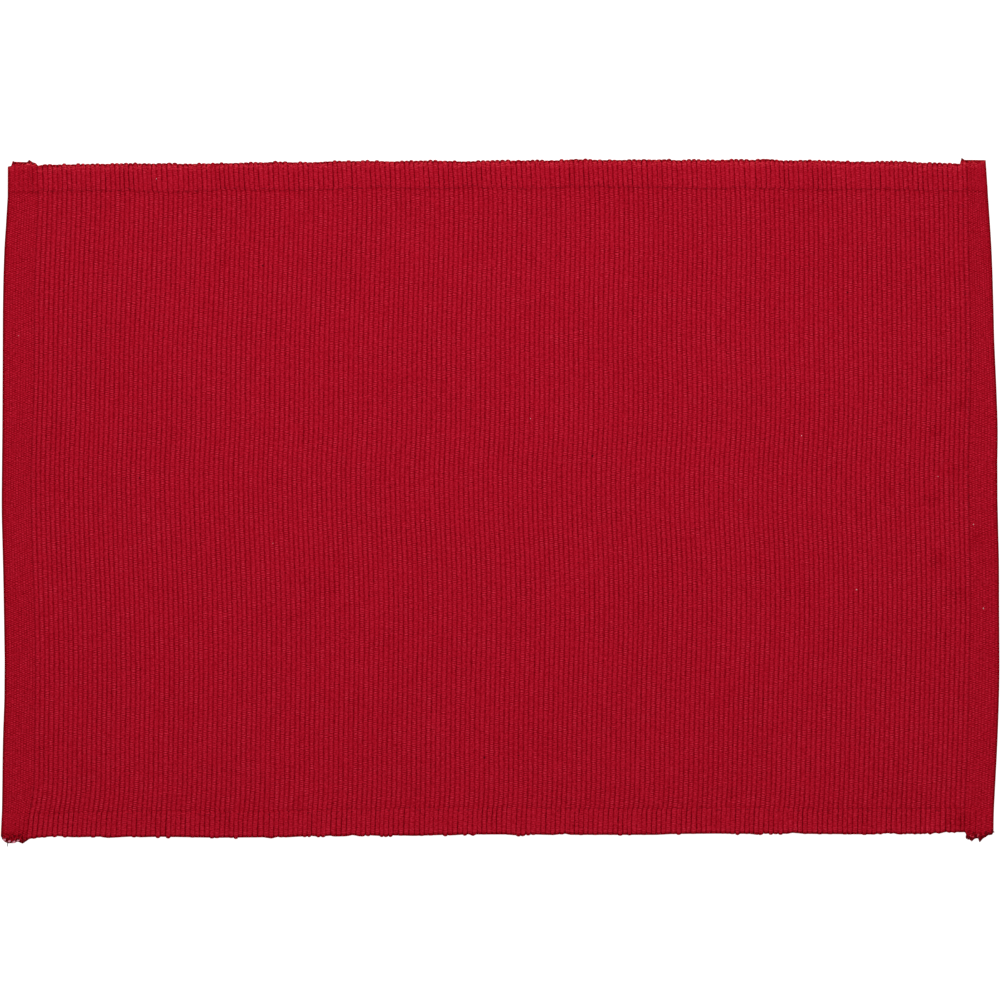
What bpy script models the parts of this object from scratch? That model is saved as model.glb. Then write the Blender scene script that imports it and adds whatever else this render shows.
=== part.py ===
"""A ribbed cotton placemat with turned hems, lying flat.

The back of the cloth lies in the plane z = 0. X runs along the long side, Y along the short side
and Z up. The origin is under the middle of the cloth. The ribs run along Y, from hem to hem. A plain
band without ribs, which is the turned end of the cloth, runs along each short side.
"""

from collections import namedtuple

import bmesh
import bpy
import numpy as np

MM = 0.001

# Ribs. FIRST_RIB_X is the foot of the first rib where nothing pulls the ribs sideways.
RIB_COUNT = 192
RIB_PITCH = 2.369
FIRST_RIB_X = -226.7
LAST_RIB_X = FIRST_RIB_X + RIB_COUNT * RIB_PITCH
RIB_SEED = 7
RIB_WANDER = 0.07
CREST_SPREAD = 0.06

# The short ends of the cloth where nothing pulls them sideways, outside the first and last rib.
LEFT_END_X = -241.6
RIGHT_END_X = 240.3

# Heights over the table.
RIM = 1.1
HEM_RIM = 1.5
BAND = 2.1
CORNER = 3.0
SEAM = 1.2
FOOT_INSET = 0.4

# Hems along the two long sides. The seam is a groove that presses the ribs down.
HEM_WIDTH = 13.2
SEAM_HALF_WIDTH = 1.3
SHOULDER = 1.6
SCALLOP = 0.3

# Where the columns of the plain bands lie, as shares of the band from the short end to the ribs.
BAND_SHARES = (0.0, 0.1, 0.15, 0.45, 0.68, 0.86)

# Rows of the field between the hems.
FIELD_ROWS_Y = (-50.7, 14.9, 76.2)

# How the cloth sways from side to side along Y. left_edge and right_edge are the outline. The three
# sways are how far the first, the middle and the last rib stand off their straight places.
Section = namedtuple("Section", "y left_edge sway_left sway_middle sway_right right_edge")
SECTIONS = (
    Section(-163.1, -242.5, -2.1, -1.4, -2.4, 239.7),
    Section(-151.4, -242.3, -1.3, -1.1, -2.1, 239.9),
    Section(-145.6, -242.2, -0.7, -0.8, -1.7, 240.2),
    Section(-116.4, -241.8, 0.1, -0.5, -0.7, 241.7),
    Section(-92.1, -241.0, 0.6, 0.0, -0.1, 242.5),
    Section(-50.7, -241.4, 0.0, 0.6, 0.9, 242.5),
    Section(-28.8, -241.8, -0.6, 0.3, 0.7, 242.4),
    Section(-5.5, -242.4, -1.3, -0.8, 0.1, 241.8),
    Section(14.9, -242.3, -1.6, -1.1, -0.1, 241.6),
    Section(34.4, -242.1, -1.1, -0.4, 0.5, 241.8),
    Section(53.9, -242.0, -0.5, 0.0, 1.1, 241.2),
    Section(76.2, -241.9, 0.0, -0.1, 0.9, 240.2),
    Section(95.7, -241.8, 0.5, 0.1, 0.4, 239.7),
    Section(122.0, -241.1, 1.3, 1.0, 0.0, 238.8),
    Section(148.2, -239.5, 2.5, 1.2, -0.4, 237.1),
    Section(165.8, -239.4, 1.9, 0.5, -1.1, 235.9),
)

# The outline of the two long sides, with the ears of the turned ends that stand proud at the corners.
Point = namedtuple("Point", "x y")
TOP_EDGE = (
    Point(-239.4, 162.6),
    Point(-237.8, 162.8),
    Point(-237.5, 165.2),
    Point(-236.8, 164.7),
    Point(-230.1, 164.6),
    Point(-229.2, 165.7),
    Point(-227.1, 164.1),
    Point(-224.8, 162.8),
    Point(-214.2, 163.3),
    Point(-170.4, 164.0),
    Point(-107.2, 164.6),
    Point(-39.1, 165.2),
    Point(43.6, 165.8),
    Point(116.6, 165.8),
    Point(170.1, 165.1),
    Point(204.2, 164.6),
    Point(223.5, 163.8),
    Point(224.1, 165.7),
    Point(224.8, 166.6),
    Point(225.7, 165.7),
    Point(235.7, 165.7),
)
BOTTOM_EDGE = (
    Point(-242.5, -163.1),
    Point(-242.1, -164.8),
    Point(-241.0, -165.7),
    Point(-239.0, -166.1),
    Point(-234.1, -165.8),
    Point(-232.5, -166.6),
    Point(-229.5, -164.4),
    Point(-228.3, -163.7),
    Point(-224.9, -163.9),
    Point(-213.2, -163.1),
    Point(-185.0, -163.7),
    Point(-112.0, -163.9),
    Point(-82.9, -163.1),
    Point(-34.2, -162.6),
    Point(53.4, -162.6),
    Point(97.2, -162.1),
    Point(136.1, -161.9),
    Point(209.1, -162.1),
    Point(226.4, -161.2),
    Point(227.2, -163.9),
    Point(229.4, -165.6),
    Point(231.7, -164.0),
    Point(233.5, -166.0),
    Point(235.0, -163.6),
    Point(237.3, -162.5),
    Point(240.1, -160.9),
)

# A row of the mesh across the cloth: its distance from the long side that it follows, and the heights
# of a rib's crest, of the foot between two ribs and of the plain band there.
Row = namedtuple("Row", "inset crest foot band")
HEM_ROWS = (
    Row(0.0, HEM_RIM, 1.3, HEM_RIM),
    Row(SHOULDER, 2.9, 2.05, CORNER),
    Row(HEM_WIDTH - SEAM_HALF_WIDTH, 2.8, 1.95, CORNER),
    Row(HEM_WIDTH, 2.2, 1.6, 2.6),
    Row(HEM_WIDTH + SEAM_HALF_WIDTH, 2.35, 1.6, BAND),
)
FIELD_ROW = Row(None, 2.05, 1.35, BAND)


def smooth_through(stations, values, at):
    """A cubic curve through the values at the stations, with the slope of its neighbours at each."""
    stations = np.asarray(stations, float)
    values = np.asarray(values, float)
    slopes = np.gradient(values, stations)
    at = np.clip(at, stations[0], stations[-1])
    cell = np.clip(np.searchsorted(stations, at) - 1, 0, len(stations) - 2)
    width = stations[cell + 1] - stations[cell]
    t = (at - stations[cell]) / width
    start = (1 + 2 * t) * (1 - t) ** 2 * values[cell] + t * (1 - t) ** 2 * width * slopes[cell]
    end = t**2 * (3 - 2 * t) * values[cell + 1] + t**2 * (t - 1) * width * slopes[cell + 1]
    return start + end


def swayed(x, y):
    """Where a point with the straight place x lies at y: x plus the sway between the nearest columns."""
    table = {name: [getattr(s, name) for s in SECTIONS] for name in Section._fields}
    middle_x = (FIRST_RIB_X + LAST_RIB_X) / 2
    columns = (
        (LEFT_END_X, smooth_through(table["y"], table["left_edge"], y) - LEFT_END_X),
        (FIRST_RIB_X, smooth_through(table["y"], table["sway_left"], y)),
        (middle_x, smooth_through(table["y"], table["sway_middle"], y)),
        (LAST_RIB_X, smooth_through(table["y"], table["sway_right"], y)),
        (RIGHT_END_X, smooth_through(table["y"], table["right_edge"], y) - RIGHT_END_X),
    )
    moved = np.array(x, float)
    for (x0, sway0), (x1, sway1) in zip(columns, columns[1:]):
        inside = (x >= x0) & (x <= x1)
        share = np.clip((x - x0) / (x1 - x0), 0, 1)
        moved = np.where(inside, x + sway0 + share * (sway1 - sway0), moved)
    return moved


def edge_height(edge, x):
    """The y of a long side's outline at x, on the straight lines between its points."""
    return np.interp(x, [p.x for p in edge], [p.y for p in edge])


def column_places():
    """Straight places of the mesh columns, and for each its kind: band, crest or foot, and rim."""
    rng = np.random.default_rng(RIB_SEED)
    feet = FIRST_RIB_X + RIB_PITCH * np.arange(RIB_COUNT + 1)
    feet[1:-1] += rng.uniform(-RIB_WANDER, RIB_WANDER, RIB_COUNT - 1)
    crests = (feet[1:] + feet[:-1]) / 2
    shares = np.array(BAND_SHARES)
    left = LEFT_END_X + shares * (FIRST_RIB_X - LEFT_END_X)
    right = RIGHT_END_X - shares[::-1] * (RIGHT_END_X - LAST_RIB_X)
    ribs = np.empty(2 * RIB_COUNT + 1)
    ribs[0::2] = feet
    ribs[1::2] = crests
    places = np.concatenate([left, ribs, right])
    kinds = ["band"] * len(left) + ["foot", "crest"] * RIB_COUNT + ["foot"] + ["band"] * len(right)
    kinds[0] = kinds[-1] = "rim"
    kinds[len(left)] = kinds[-len(right) - 1] = "seam"
    return places, kinds


def surface_points():
    """The face of the cloth, as an array of points in mm: a column for each place, a row for each Row."""
    places, kinds = column_places()
    rng = np.random.default_rng(RIB_SEED + 1)
    lift = rng.uniform(-CREST_SPREAD, CREST_SPREAD, len(places))
    top = edge_height(TOP_EDGE, swayed(places, SECTIONS[-1].y))
    bottom = edge_height(BOTTOM_EDGE, swayed(places, SECTIONS[0].y))
    is_crest = np.array([kind == "crest" for kind in kinds])
    top = top + np.where(is_crest, SCALLOP / 2, 0.0)
    bottom = bottom - np.where(is_crest, SCALLOP / 2, 0.0)
    rows = [(bottom + row.inset, row) for row in HEM_ROWS]
    rows += [(np.full_like(top, y), FIELD_ROW) for y in FIELD_ROWS_Y]
    rows += [(top - row.inset, row) for row in reversed(HEM_ROWS)]
    points = np.empty((len(places), len(rows), 3))
    for j, (y, row) in enumerate(rows):
        heights = {
            "band": row.band,
            "crest": row.crest,
            "foot": row.foot,
            "rim": min(RIM, row.band),
            "seam": min(SEAM, row.foot),
        }
        points[:, j, 0] = swayed(places, y)
        points[:, j, 1] = y
        points[:, j, 2] = [heights[kind] for kind in kinds] + np.where(is_crest, lift, 0.0)
    return points, kinds


def underside_point(point, corner_x, corner_y):
    """A point of the rim's foot: under the rim, drawn in from the side or sides that it stands on."""
    x = point[0] - corner_x * FOOT_INSET
    y = point[1] - corner_y * FOOT_INSET
    return x, y, 0.0


def build_cloth(name):
    """One closed solid: the ribbed face, a low wall around it and the flat back."""
    points, kinds = surface_points()
    columns, rows = points.shape[:2]
    last_column = columns - 1
    last_row = rows - 1
    bm = bmesh.new()
    face = [[bm.verts.new(points[i, j] * MM) for j in range(rows)] for i in range(columns)]

    def foot(i, j):
        side_x = (i == last_column) - (i == 0)
        side_y = (j == last_row) - (j == 0)
        return bm.verts.new(np.array(underside_point(points[i, j], side_x, side_y)) * MM)

    for i in range(last_column):
        for j in range(last_row):
            bm.faces.new((face[i][j], face[i + 1][j], face[i + 1][j + 1], face[i][j + 1]))

    # The back has a vertex under every column but the crests, and under every row at the short ends.
    stands = [i for i in range(columns) if kinds[i] != "crest"]
    front = {i: foot(i, 0) for i in stands}
    back = {i: foot(i, last_row) for i in stands}
    left = [front[0]] + [foot(0, j) for j in range(1, last_row)] + [back[0]]
    right = [front[last_column]]
    right += [foot(last_column, j) for j in range(1, last_row)]
    right += [back[last_column]]

    for a, b in zip(stands, stands[1:]):
        for feet, j, turn in ((front, 0, 1), (back, last_row, -1)):
            if b - a == 1:
                wall = [(feet[a], feet[b], face[b][j], face[a][j])]
            else:
                crest = face[a + 1][j]
                wall = [
                    (feet[a], feet[b], crest),
                    (feet[a], crest, face[a][j]),
                    (feet[b], face[b][j], crest),
                ]
            for corners in wall:
                bm.faces.new(corners[::turn])
    for j in range(last_row):
        bm.faces.new((left[j + 1], left[j], face[0][j], face[0][j + 1]))
        bm.faces.new((right[j], right[j + 1], face[last_column][j + 1], face[last_column][j]))

    inner = stands[1:-1]
    for a, b in zip(inner, inner[1:]):
        bm.faces.new((front[a], back[a], back[b], front[b]))
    bm.faces.new(left + [back[inner[0]], front[inner[0]]])
    bm.faces.new([front[inner[-1]], back[inner[-1]]] + right[::-1])

    bm.normal_update()
    mesh = bpy.data.meshes.new(name)
    bm.to_mesh(mesh)
    bm.free()
    cloth = bpy.data.objects.new(name, mesh)
    bpy.context.scene.collection.objects.link(cloth)
    return cloth


def red_cotton():
    """Dull deep red, as dyed cotton yarn."""
    material = bpy.data.materials.new("red_cotton")
    material.use_nodes = True
    shader = material.node_tree.nodes["Principled BSDF"]
    shader.inputs["Base Color"].default_value = (0.347, 0.0048, 0.0152, 1.0)
    shader.inputs["Roughness"].default_value = 0.9
    shader.inputs["Metallic"].default_value = 0.0
    return material


for old in list(bpy.data.objects):
    bpy.data.objects.remove(old, do_unlink=True)

placemat = build_cloth("placemat")
placemat.data.materials.append(red_cotton())
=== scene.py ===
"""A placemat of thick ribbed red cotton, laid flat on a pale table and seen from straight above."""

import math

import bpy
import numpy as np
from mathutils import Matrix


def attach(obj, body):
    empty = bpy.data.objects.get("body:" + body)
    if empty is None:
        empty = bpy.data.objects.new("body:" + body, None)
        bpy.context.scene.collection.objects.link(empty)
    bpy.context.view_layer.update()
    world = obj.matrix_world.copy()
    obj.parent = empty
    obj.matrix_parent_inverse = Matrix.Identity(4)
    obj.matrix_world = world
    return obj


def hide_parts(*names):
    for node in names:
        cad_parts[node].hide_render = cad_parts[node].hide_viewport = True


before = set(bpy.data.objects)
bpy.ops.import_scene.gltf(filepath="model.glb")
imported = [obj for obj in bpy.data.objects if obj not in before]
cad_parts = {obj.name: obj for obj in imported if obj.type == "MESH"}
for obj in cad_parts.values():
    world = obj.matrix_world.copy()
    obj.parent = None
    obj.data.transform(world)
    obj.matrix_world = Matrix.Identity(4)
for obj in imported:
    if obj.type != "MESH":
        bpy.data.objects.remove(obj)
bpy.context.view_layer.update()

# ---------------------------------------------------------------------------------------------------
# The cloth. One length of cotton rib (repp): thick soft yarns lie along Y and make the ribs, and fine
# hard-spun yarns pass over and under them. Each short end is a band of plain weave, turned under and
# sewn down; the two long sides are turned under twice and sewn down. Sizes are in millimetres.

MM = 0.001
RIB_COUNT = 192
RIB_PITCH = 2.369
FIRST_FOOT_X = -226.7
LAST_FOOT_X = FIRST_FOOT_X + RIB_COUNT * RIB_PITCH
LEFT_END_X = -241.85
RIGHT_END_X = 240.55
NEAR_SIDE_Y = -163.5
FAR_SIDE_Y = 165.0
HEM_WIDTH = 13.2

# How the cloth sways along Y: y, its two short edges, and how far five of its ribs stand off their
# straight places.
SWAY_RIBS = (0, 24, 96, 144, 192)
SWAY_COLUMNS = ("y", "left_edge", "rib_0", "rib_24", "rib_96", "rib_144", "rib_192", "right_edge")
SWAY = np.array((
    (-163.1, -243.05, -3.5, -2.8, -2.4, -2.8, -2.5, 239.96),
    (-151.4, -242.55, -2.2, -2.3, -2.1, -2.5, -2.3, 240.16),
    (-145.6, -242.45, -1.1, -1.8, -1.7, -2.0, -2.0, 240.46),
    (-116.4, -242.05, 0.0, -1.2, -1.4, -1.2, -0.8, 241.96),
    (-92.1, -241.25, 0.4, -0.7, -1.0, -0.6, -0.2, 242.76),
    (-50.7, -241.65, -0.1, -1.2, -0.2, 0.5, 0.6, 242.76),
    (-28.8, -242.05, -0.9, -1.9, -0.6, 0.2, 0.4, 242.66),
    (-5.5, -242.65, -1.6, -2.7, -1.6, -0.9, -0.1, 242.06),
    (14.9, -242.55, -1.7, -3.0, -1.9, -0.8, -0.4, 241.86),
    (34.4, -242.35, -1.1, -2.1, -1.0, 0.4, 0.1, 242.06),
    (53.9, -242.25, -0.4, -1.9, -0.8, 0.7, 0.7, 241.46),
    (76.2, -242.15, -0.1, -1.5, -0.8, 0.1, 0.7, 240.46),
    (95.7, -242.05, -0.1, -0.5, -0.5, 0.1, 0.5, 239.96),
    (122.0, -241.35, 0.7, 0.5, 0.1, 0.6, -0.3, 239.06),
    (148.2, -239.75, 1.7, 1.3, 0.3, 0.1, -0.7, 237.36),
    (165.8, -239.65, 1.3, 0.6, -0.6, -0.6, -1.3, 236.16),
))
SWAY = dict(zip(SWAY_COLUMNS, SWAY.T))

# The two long sides, x and y, with the turned ends that stand proud of them at the corners.
TOP_EDGE = np.array((
    (-239.5, 162.7), (-238.1, 162.9), (-237.7, 163.3), (-237.4, 165.5), (-236.6, 165.0),
    (-230.3, 164.8), (-229.8, 165.2), (-229.2, 165.9), (-227.2, 164.6), (-226.1, 164.4),
    (-224.7, 163.0), (-223.2, 163.6), (-176.5, 164.2), (-168.2, 164.0), (-163.9, 164.3),
    (-153.6, 164.0), (-115.7, 164.7), (-110.8, 165.0), (-92.3, 164.7), (-83.1, 165.3), (-64.1, 165.5),
    (-50.5, 165.2), (-38.3, 165.6), (-15.5, 165.2), (-2.8, 165.6), (27.8, 165.7), (36.6, 166.3),
    (49.2, 165.9), (80.9, 166.1), (87.7, 165.8), (97.4, 166.0), (104.2, 165.8), (112.0, 166.1),
    (123.7, 165.9), (129.0, 166.5), (138.3, 165.5), (150.4, 165.8), (171.3, 165.1), (197.1, 165.2),
    (202.0, 164.7), (223.8, 164.0), (223.9, 165.8), (224.9, 166.7), (225.8, 165.9), (235.9, 165.8),
)).T
BOTTOM_EDGE = np.array((
    (-242.6, -163.5), (-242.4, -164.7), (-241.2, -165.9), (-239.7, -166.7), (-236.3, -166.6),
    (-234.9, -165.8), (-232.4, -166.9), (-229.0, -164.6), (-224.9, -164.0), (-215.4, -163.3),
    (-208.1, -163.9), (-194.5, -163.6), (-191.1, -164.2), (-178.9, -163.5), (-175.0, -163.9),
    (-166.3, -163.6), (-143.9, -164.0), (-137.6, -164.1), (-115.2, -163.9), (-111.3, -164.5),
    (-108.4, -163.7), (-103.5, -163.9), (-91.9, -163.2), (-89.4, -163.5), (-82.1, -163.1),
    (-79.7, -163.5), (-75.3, -163.4), (-71.9, -162.8), (-68.0, -163.4), (-65.1, -162.8),
    (-55.9, -163.4), (-52.4, -162.9), (-42.2, -163.2), (-27.1, -162.7), (-24.7, -163.0),
    (-15.2, -162.4), (-13.3, -163.3), (-11.8, -162.5), (2.5, -162.5), (9.8, -163.1), (13.2, -162.4),
    (25.9, -162.8), (31.2, -162.1), (34.2, -162.7), (76.0, -162.7), (83.3, -162.3), (103.7, -162.1),
    (121.2, -162.2), (125.1, -162.7), (128.0, -162.0), (139.7, -162.2), (142.2, -161.7),
    (148.0, -162.2), (182.0, -162.5), (183.5, -162.1), (185.1, -162.5), (186.7, -161.8),
    (187.4, -162.1), (188.5, -161.7), (190.1, -162.2), (191.1, -161.8), (193.0, -162.3),
    (195.0, -162.5), (196.2, -162.2), (197.1, -162.5), (198.1, -162.0), (199.1, -162.3),
    (200.5, -162.1), (201.7, -162.5), (203.3, -162.1), (204.4, -162.4), (205.6, -162.1),
    (206.6, -162.3), (207.8, -161.8), (209.0, -162.6), (210.8, -161.8), (212.2, -161.7),
    (213.5, -162.1), (215.1, -161.6), (217.1, -161.2), (218.4, -161.7), (219.6, -161.3),
    (221.0, -161.8), (222.2, -161.2), (223.2, -161.4), (225.8, -161.3), (226.4, -161.7),
    (227.0, -164.6), (228.3, -164.9), (229.2, -165.7), (231.2, -164.3), (232.4, -164.3),
    (233.3, -166.2), (235.1, -164.1), (236.0, -163.8), (237.5, -162.7), (239.2, -162.6),
    (240.2, -161.1),
)).T

# The seams of the two hems, x and y.
TOP_SEAM = np.array((
    (-242, 149.7), (-209, 150.7), (-185, 150.7), (-161, 149.9), (-136, 151.1), (-112, 150.7),
    (-88, 151.1), (-63, 152.1), (-39, 151.6), (-15, 152.1), (10, 151.6), (34, 152.6), (58, 152.6),
    (83, 152.1), (107, 151.6), (131, 151.6), (155, 151.1), (180, 151.6), (204, 150.7), (240, 150.5),
)).T
BOTTOM_SEAM = np.array((
    (-242, -151.6), (-222, -151.8), (-200, -151.1), (-161, -150.6), (-136, -151.0), (-112, -151.0),
    (-88, -150.0), (-63, -149.5), (-39, -149.0), (10, -149.0), (34, -149.5), (83, -149.5),
    (107, -149.0), (131, -149.0), (155, -149.5), (204, -149.5), (240, -149.3),
)).T

# Heights over the table at each distance in from a long side: a rib's crest, the foot between two
# ribs, the plain band, and the cloth's back, which lifts beside the turned hem.
FACE_INSET = (0.0, 0.3, 0.8, 1.6, 11.8, 12.6, 13.2, 13.9, 15.0, 30.0)
CREST = (1.90, 2.30, 2.62, 2.85, 2.82, 2.72, 2.30, 2.30, 2.28, 2.05)
FOOT = (1.50, 1.80, 2.05, 2.25, 2.22, 2.10, 1.65, 1.58, 1.54, 1.35)
BAND = (1.90, 2.35, 2.70, 2.98, 2.98, 2.85, 2.60, 2.30, 2.15, 2.10)
BACK_INSET = (0.3, 1.4, 12.4, 13.4, 16.0, 30.0)
BACK = (0.55, 0.02, 0.0, 0.55, 0.5, 0.0)

# Finer shapes: how far the first and last foot sink, the ridges that show through the bands at the
# corners, the dip along a band's seam, the width over which a short end rolls down, and on the back the
# lift beside the bands, the lift of the rim and the depth of the ribs.
OUTER_FOOT_SINK = 0.15
RIDGE_HEIGHT = 0.13
SEAM_DIP = 0.25
ROLL_WIDTH = 1.7
BAND_LIFT = 0.4
RIM_LIFT = 0.5
BACK_RIB_DEPTH = 0.35

# Random drifts, each with its seed, its reach in millimetres and its size: how the feet of the ribs
# wander sideways, how far the hems' ribs step aside at the seam (reach in ribs), and how crests and
# feet rise and sink.
FOOT_WANDER = ((7, 9.0, 0.055), (8, 34.0, 0.06))
HEM_STEP_SEEDS = (31, 32)
HEM_STEP = (5.0, 0.38)
CREST_LIFT = ((21, 9.0, 0.02), (22, 60.0, 0.02))
FOOT_SINK = ((23, 10.0, 0.045),)

# The small bumps of the outline: the least and greatest along the far side, the greatest along the near
# side, and how many ribs at its right end have theirs in the table above.
FAR_BUMP = (0.1, 0.75)
NEAR_BUMP = 0.85
LISTED_BUMPS = 19

# Grid lines: places across one rib with their share of its height, across a band as shares of its
# width, and in from the long sides, on the face and on the back.
RIB_PHASE = np.array((0.0, 0.2, 0.5, 0.8))
RIB_SHAPE = np.array((0.0, 0.74, 1.0, 0.74))
BAND_SHARE = np.concatenate([(0.0, 0.02, 0.05, 0.09), np.linspace(0.12, 1.0, 31)[:-1]])
FACE_ROWS = (0.0, 0.3, 0.8, 1.6, 3.2, 5.4, 7.6, 9.8, 11.6, 12.5, 13.2, 13.9, 14.8, 17.0, 20.5)
FACE_FIELD_ROWS = 59
BACK_ROWS = (0.3, 1.4, 12.4, 13.4, 16.0, 24.0)
BACK_FIELD_ROWS = 11


def smooth_through(stations, values, at):
    """A cubic curve through the values at the stations, with its neighbours' slope at each station."""
    slopes = np.gradient(values, stations)
    at = np.clip(at, stations[0], stations[-1])
    cell = np.clip(np.searchsorted(stations, at) - 1, 0, len(stations) - 2)
    width = stations[cell + 1] - stations[cell]
    t = (at - stations[cell]) / width
    start = (1 + 2 * t) * (1 - t) ** 2 * values[cell] + t * (1 - t) ** 2 * width * slopes[cell]
    end = t**2 * (3 - 2 * t) * values[cell + 1] + t**2 * (t - 1) * width * slopes[cell + 1]
    return start + end


def swayed(place, y):
    """Straight place across the cloth to x at y: the place plus the sway of the nearest two columns
    (the two edges and the five ribs of the table), shared by distance."""
    ribs = FIRST_FOOT_X + RIB_PITCH * np.array(SWAY_RIBS)
    straight = np.concatenate([[LEFT_END_X], ribs, [RIGHT_END_X]])
    sway = np.array([smooth_through(SWAY["y"], SWAY[name], y) for name in SWAY_COLUMNS[1:]])
    sway[0] -= LEFT_END_X
    sway[-1] -= RIGHT_END_X
    cell = np.clip(np.searchsorted(straight, place) - 1, 0, len(straight) - 2)
    share = (place - straight[cell]) / (straight[cell + 1] - straight[cell])
    near = np.take_along_axis(sway, cell[None], 0)[0]
    far = np.take_along_axis(sway, cell[None] + 1, 0)[0]
    return place + near + share * (far - near)


def drift(seed, count, rows, reach, size):
    """Slow random drift of `count` lines along the rows: normal numbers `size` wide at stations
    `reach` apart, joined by smooth steps 3t^2 - 2t^3."""
    stations = int((rows.max() - rows.min()) / reach) + 3
    values = np.random.default_rng(seed).normal(0, size, (count, stations))
    at = (rows - rows.min()) / reach
    cell = at.astype(int)
    t = at - cell
    step = t * t * (3 - 2 * t)
    return values[:, cell] * (1 - step) + values[:, cell + 1] * step


def drifts(kinds, count, rows):
    """The sum of several drifts, each with its seed, reach and size."""
    return sum(drift(seed, count, rows, reach, size) for seed, reach, size in kinds)


def cloth_grid(insets, field_rows):
    """Points of one side of the cloth, z still 0, with what its height depends on. Columns are the
    BAND_SHARE and RIB_PHASE places; rows lie `insets` in from each long side and evenly between."""
    insets = np.array(insets)
    middle = np.linspace(0, 1, field_rows + 2)[1:-1]
    share = np.concatenate([np.zeros(len(insets)), middle, np.ones(len(insets))])
    inset = np.concatenate([insets, insets[-1] * (1 - 2 * middle), -insets[::-1]])
    level = NEAR_SIDE_Y + (FAR_SIDE_Y - NEAR_SIDE_Y) * share + inset

    feet = FIRST_FOOT_X + RIB_PITCH * np.arange(RIB_COUNT + 1)
    wander = drifts(FOOT_WANDER, RIB_COUNT + 1, level)
    # The ribs of the turned hems don't quite meet those of the field: they step sideways at the seam.
    outside = np.abs(inset) < HEM_WIDTH - 0.3
    for seed, hemmed in zip(HEM_STEP_SEEDS, ((share == 0) & outside, (share == 1) & outside)):
        step = drift(seed, 1, np.arange(RIB_COUNT + 1.0), *HEM_STEP)
        wander += step[0][:, None] * hemmed
    wander[[0, -1]] = 0
    feet = feet[:, None] + wander
    ribs = feet[:-1, None] * (1 - RIB_PHASE[:, None]) + feet[1:, None] * RIB_PHASE[:, None]
    left = LEFT_END_X + BAND_SHARE[:, None] * (feet[0] - LEFT_END_X)
    right = RIGHT_END_X - BAND_SHARE[::-1, None] * (RIGHT_END_X - feet[-1])
    place = np.concatenate([left, ribs.reshape(-1, len(level)), feet[-1:], right])

    phases = np.tile(RIB_PHASE, RIB_COUNT) + np.repeat(np.arange(RIB_COUNT), len(RIB_PHASE))
    band_count = len(BAND_SHARE)
    rib = np.concatenate([
        (BAND_SHARE - 1) * (FIRST_FOOT_X - LEFT_END_X) / RIB_PITCH,
        phases,
        [RIB_COUNT],
        RIB_COUNT + (1 - BAND_SHARE[::-1]) * (RIGHT_END_X - LAST_FOOT_X) / RIB_PITCH,
    ])
    crest = np.pad(np.tile(RIB_SHAPE, RIB_COUNT), (band_count, band_count + 1))
    is_band = np.concatenate([np.ones(band_count), np.zeros(len(phases) + 1), np.ones(band_count)])

    # A small bump of the outline for each rib along the top, and for a few of them along the bottom.
    # The last two ribs, beside the corner, have none.
    chance = np.random.default_rng(11)
    far = chance.uniform(*FAR_BUMP, RIB_COUNT)
    near = NEAR_BUMP * chance.uniform(0, 1, RIB_COUNT) ** 5
    size = np.stack([far, near])
    bump = np.repeat(size, len(RIB_PHASE), 1) * np.tile(RIB_SHAPE, RIB_COUNT) - size.mean(1)[:, None] / 2
    bump[:, -2 * len(RIB_PHASE) :] = 0
    bump[1, -LISTED_BUMPS * len(RIB_PHASE) :] = 0
    bump = np.pad(bump, ((0, 0), (band_count, band_count + 1)))
    top_x = swayed(place[:, -1], np.full(len(place), SWAY["y"][-1]))
    bottom_x = swayed(place[:, 0], np.full(len(place), SWAY["y"][0]))
    top = (np.interp(top_x, *TOP_EDGE) + bump[0] - 0.05)[:, None]
    bottom = (np.interp(bottom_x, *BOTTOM_EDGE) - bump[1])[:, None]

    # Rows follow the seam line inside it and fan out from it to the uneven edge.
    top_line = np.interp(top_x, *TOP_SEAM)[:, None] + HEM_WIDTH
    bottom_line = np.interp(bottom_x, *BOTTOM_SEAM)[:, None] - HEM_WIDTH
    y = bottom_line * (1 - share) + top_line * share + inset
    y = y + (bottom - bottom_line) * (share == 0) * np.clip(1 - inset / HEM_WIDTH, 0, 1)
    y = y + (top - top_line) * (share == 1) * np.clip(1 + inset / HEM_WIDTH, 0, 1)
    x = swayed(place, y)
    turned_in = np.minimum(y - bottom_line, top_line - y)
    hem = np.where((share == 0) | (share == 1), np.abs(inset), turned_in)
    left_edge = smooth_through(SWAY["y"], SWAY["left_edge"], y)
    right_edge = smooth_through(SWAY["y"], SWAY["right_edge"], y)
    end = np.minimum(x - left_edge, right_edge - x)
    return {
        "x": x, "y": y, "hem": hem, "end": np.maximum(end, 0), "level": level,
        "rib": rib[:, None] + 0 * x, "crest": crest[:, None], "is_band": is_band[:, None],
    }


def rise(distance, over):
    """A smooth step from 0 to 1 as the distance goes from 0 to `over`: 3t^2 - 2t^3."""
    t = np.clip(distance / over, 0, 1)
    return t * t * (3 - 2 * t)


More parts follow.
